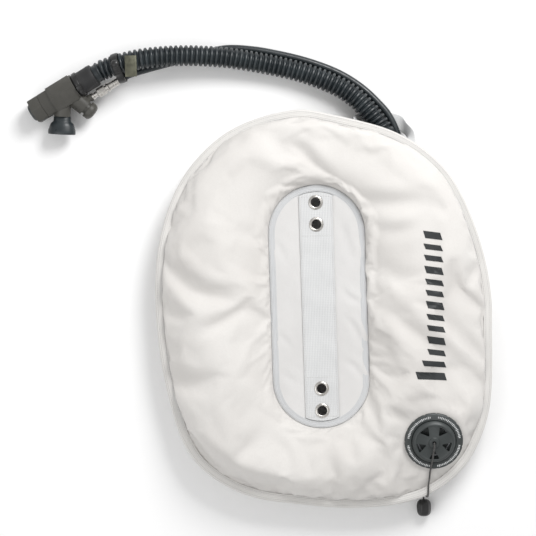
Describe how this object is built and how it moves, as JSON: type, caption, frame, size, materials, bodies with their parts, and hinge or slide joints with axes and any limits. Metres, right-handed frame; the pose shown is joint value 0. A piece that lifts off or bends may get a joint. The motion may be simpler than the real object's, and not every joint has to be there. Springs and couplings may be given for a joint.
{
  "type": "buoyancy compensator wing",
  "caption": "Ring-shaped buoyancy wing for one cylinder: soft air cell round a webbing centre panel with eyelets, dump valve, corrugated hose and power inflator.",
  "frame": {"origin": "centre of the eyelet pattern, on the face of the centre webbing that meets the backplate", "axes": "+Z points to the backplate and the diver, +Y to the top of the wing, +X to the dump valve side; the wing lies on its tank side"},
  "size_m": [0.6901, 0.7259, 0.0941],
  "materials": {
    "wing_fabric": "matte woven nylon, off-white",
    "bladder": "translucent polyurethane film",
    "binding_tape": "ribbed polyester tape",
    "webbing": "ribbed nylon webbing",
    "nickel": "nickel-plated brass",
    "spring_steel": "stainless steel",
    "valve_plastic": "moulded black plastic",
    "inflator_plastic": "moulded warm-grey plastic",
    "tie_nylon": "black nylon",
    "hose_rubber": "satin black rubber",
    "seal_rubber": "soft black rubber",
    "pull_cord": "braided black cord"
  },
  "bodies": {
    "root": {"front_shell": "wing_fabric", "rear_shell": "wing_fabric", "air_cell": "bladder", "edge_binding": "binding_tape", "centre_panel": "wing_fabric", "front_panel_tape": "binding_tape", "rear_panel_tape": "binding_tape", "centre_webbing": "webbing", "eyelet_1": "nickel", "eyelet_2": "nickel", "eyelet_3": "nickel", "eyelet_4": "nickel", "eyelet_washer_1": "nickel", "eyelet_washer_2": "nickel", "eyelet_washer_3": "nickel", "eyelet_washer_4": "nickel", "hose_loop": "webbing", "valve_flange": "valve_plastic", "valve_body": "valve_plastic", "valve_ring": "valve_plastic", "valve_spring": "spring_steel", "valve_cap": "valve_plastic", "pull_cord": "pull_cord", "elbow": "inflator_plastic", "elbow_flange": "inflator_plastic", "elbow_nut": "inflator_plastic", "elbow_cuff": "hose_rubber", "elbow_tie": "tie_nylon", "inflator_body": "inflator_plastic", "end_cap": "inflator_plastic", "deflate_spring": "spring_steel", "mouthpiece": "hose_rubber", "inflate_spring": "spring_steel", "lp_nipple": "nickel", "coupling_body": "nickel", "hose_ferrule": "nickel", "inflator_cuff": "hose_rubber", "inflator_tie": "tie_nylon", "corrugated_hose": "hose_rubber", "lp_hose": "hose_rubber", "lp_fitting": "nickel", "fitting_o_ring": "seal_rubber", "hose_keeper": "hose_rubber", "keeper_clip": "spring_steel"},
    "deflate_valve": {"deflate_button": "inflator_plastic", "exhaust_seal": "seal_rubber"},
    "inflate_valve": {"inflate_button": "inflator_plastic"},
    "sleeve": {"coupling_sleeve": "nickel"},
    "pull": {"pull_knob": "valve_plastic"},
    "poppet": {"valve_poppet": "valve_plastic", "poppet_seal": "seal_rubber"}
  },
  "joints": [
    {"name": "deflate_press", "type": "slide", "parent": "root", "child": "deflate_valve", "axis": [0.8707, 0.4806, 0.1045], "range_m": [0, 0.004], "stiffness_N_per_m": 600},
    {"name": "inflate_press", "type": "slide", "parent": "root", "child": "inflate_valve", "axis": [-0.7447, 0.6465, 0.1656], "range_m": [0, 0.003], "stiffness_N_per_m": 600},
    {"name": "sleeve_slide", "type": "slide", "parent": "root", "child": "sleeve", "axis": [0.8707, 0.4806, 0.1045], "range_m": [0, 0.0027], "stiffness_N_per_m": 800},
    {"name": "pull_draw", "type": "slide", "parent": "root", "child": "pull", "axis": [0, -1, 0], "range_m": [0, 0.004], "stiffness_N_per_m": 500},
    {"name": "poppet_lift", "type": "slide", "parent": "root", "child": "poppet", "axis": [0, -0.2588, 0.9659], "range_m": [0, 0.004], "stiffness_N_per_m": 500}
  ],
  "couplings": [
    {"joint": "poppet_lift", "follows": "pull_draw", "ratio": 1}
  ]
}
